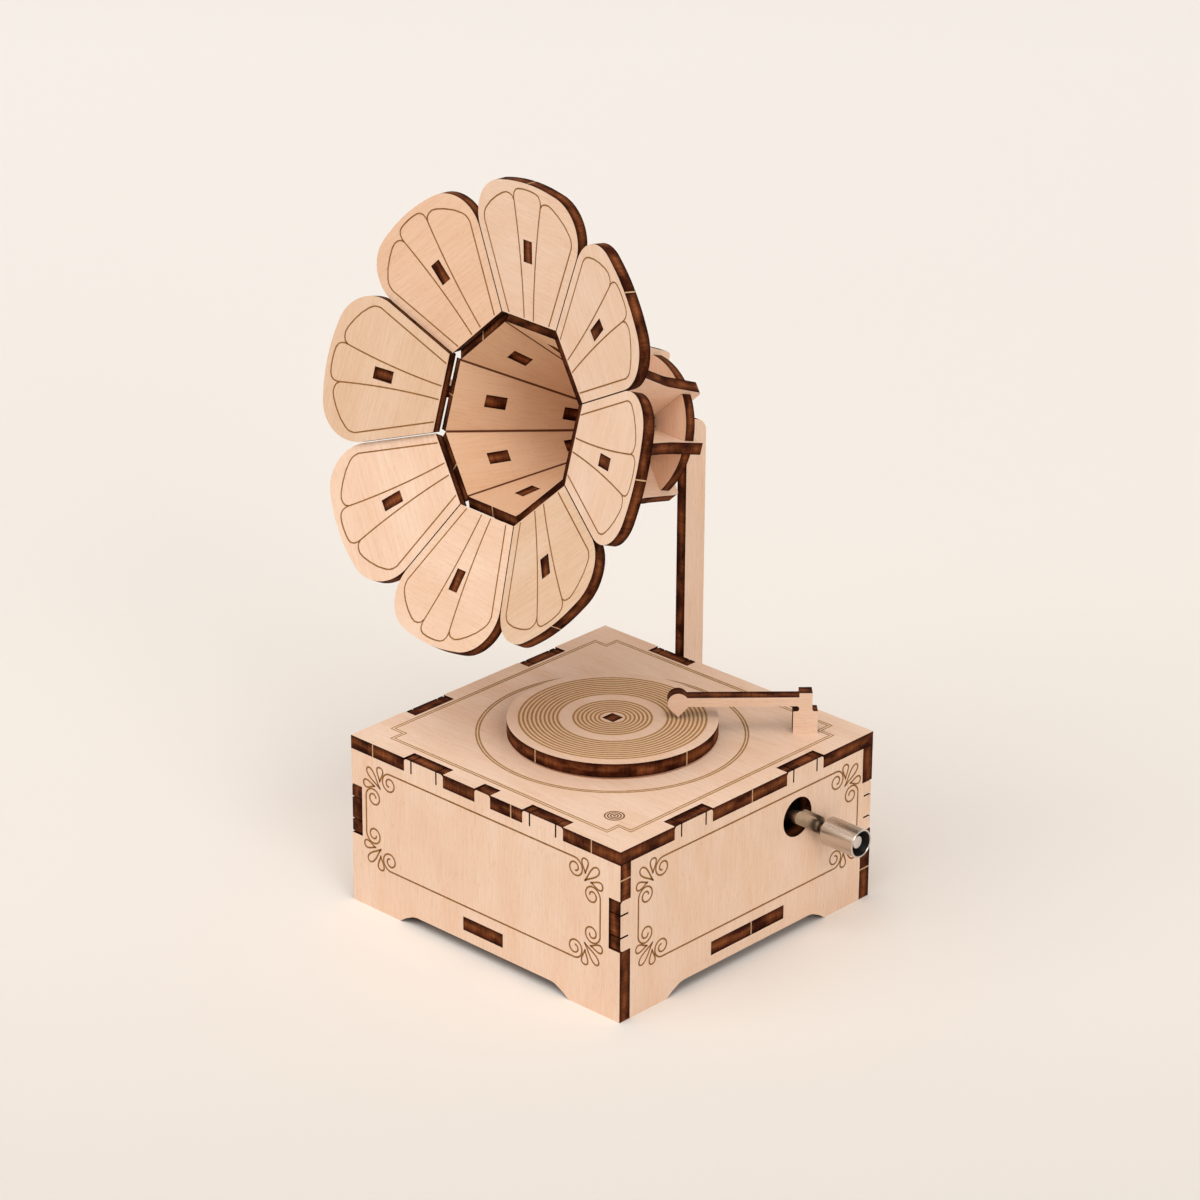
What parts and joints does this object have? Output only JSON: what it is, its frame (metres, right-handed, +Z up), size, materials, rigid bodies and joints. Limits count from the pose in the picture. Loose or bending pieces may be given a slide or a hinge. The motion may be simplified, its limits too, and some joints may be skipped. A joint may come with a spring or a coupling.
{
  "type": "hand cranked music box",
  "caption": "Laser-cut plywood music box shaped like a small gramophone: flared octagonal petal horn on a rear post, a record and tonearm on the deck, a side crank.",
  "frame": {"origin": "middle of the box's footprint, at the level of the feet (the table)", "axes": "+X right with the box's front face towards -Y, +Y back towards the horn's post, +Z up; the crank comes out of the +X side and the horn faces -Y"},
  "size_m": [0.1172, 0.082, 0.1528],
  "materials": {
    "plywood": "matte, laser-cut with burnt edges",
    "nickel_steel": "nickel plated",
    "zinc_casting": "cast, tumbled",
    "spring_steel": "ground",
    "screw_steel": "zinc plated",
    "brass": "satin",
    "white_plastic": "moulded"
  },
  "bodies": {
    "case": {"front_panel": "plywood", "back_panel": "plywood", "left_panel": "plywood", "right_panel": "plywood", "bottom_board": "plywood", "deck": "plywood", "record_washer": "plywood", "tonearm": "plywood", "horn_post": "plywood", "horn_rear_disc": "plywood", "horn_petal_1": "plywood", "horn_petal_2": "plywood", "horn_petal_3": "plywood", "horn_petal_4": "plywood", "horn_petal_5": "plywood", "horn_petal_6": "plywood", "horn_petal_7": "plywood", "horn_petal_8": "plywood", "horn_panel_1": "plywood", "horn_panel_2": "plywood", "horn_panel_3": "plywood", "horn_panel_4": "plywood", "horn_panel_5": "plywood", "horn_panel_6": "plywood", "horn_panel_7": "plywood", "horn_panel_8": "plywood", "horn_rib_1": "plywood", "horn_rib_2": "plywood", "horn_rib_3": "plywood", "horn_rib_4": "plywood", "horn_rib_5": "plywood", "horn_rib_6": "plywood", "horn_rib_7": "plywood", "horn_rib_8": "plywood", "bedplate": "zinc_casting", "comb": "spring_steel", "comb_screws": "screw_steel", "bearing_screws": "screw_steel", "movement_screws": "screw_steel", "front_bearing": "spring_steel", "back_bearing": "spring_steel"},
    "crank": {"crank_shaft": "nickel_steel", "worm": "white_plastic", "crank_arm": "nickel_steel", "knob_pin": "nickel_steel"},
    "knob": {"crank_knob": "nickel_steel"},
    "cylinder": {"cylinder": "brass", "cylinder_plugs": "brass", "cylinder_arbor": "spring_steel", "cylinder_gear": "white_plastic"},
    "record": {"record": "plywood", "record_spindle": "plywood"}
  },
  "joints": [
    {"name": "crank_spin", "type": "hinge", "parent": "case", "child": "crank", "pos_m": [0, 0.0136, 0.0274], "axis": [1, 0, 0], "continuous": true},
    {"name": "knob_spin", "type": "hinge", "parent": "crank", "child": "knob", "pos_m": [0.045, 0.02181, 0.02186], "axis": [1, 0, 0], "continuous": true},
    {"name": "cylinder_spin", "type": "hinge", "parent": "case", "child": "cylinder", "pos_m": [0.008, 0, 0.01869], "axis": [0, 1, 0], "continuous": true},
    {"name": "record_spin", "type": "hinge", "parent": "case", "child": "record", "pos_m": [0, 0, 0.04], "axis": [0, 0, 1], "continuous": true}
  ],
  "couplings": [
    {"joint": "cylinder_spin", "follows": "crank_spin", "ratio": -0.0625}
  ]
}
